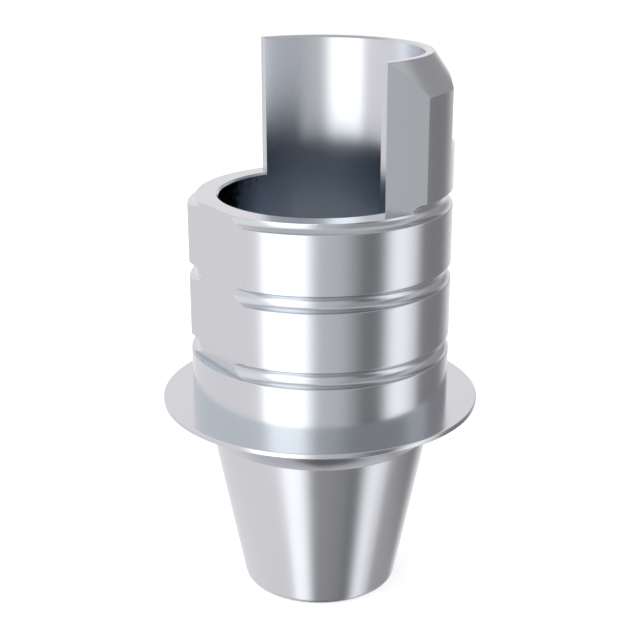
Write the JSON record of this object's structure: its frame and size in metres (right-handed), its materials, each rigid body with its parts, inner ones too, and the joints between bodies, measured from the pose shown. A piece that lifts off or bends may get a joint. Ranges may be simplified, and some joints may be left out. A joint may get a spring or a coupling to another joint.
{
  "type": "dental abutment",
  "caption": "Titanium base abutment: tapered implant connection, thin round flange and a grooved, hollow chimney with flats, cut away on one side for an angled screw.",
  "frame": {"origin": "centre of the flat ring at the narrow end of the tapered connection, on the screw axis", "axes": "+Z along the screw axis from the connection up to the tall rim of the chimney; +X points out of the cut-away side, towards the low rim"},
  "size_m": [0.0044, 0.0044, 0.0078],
  "materials": {
    "titanium": "finely turned and polished titanium alloy"
  },
  "bodies": {
    "root": {"titanium_base": "titanium"}
  },
  "joints": []
}
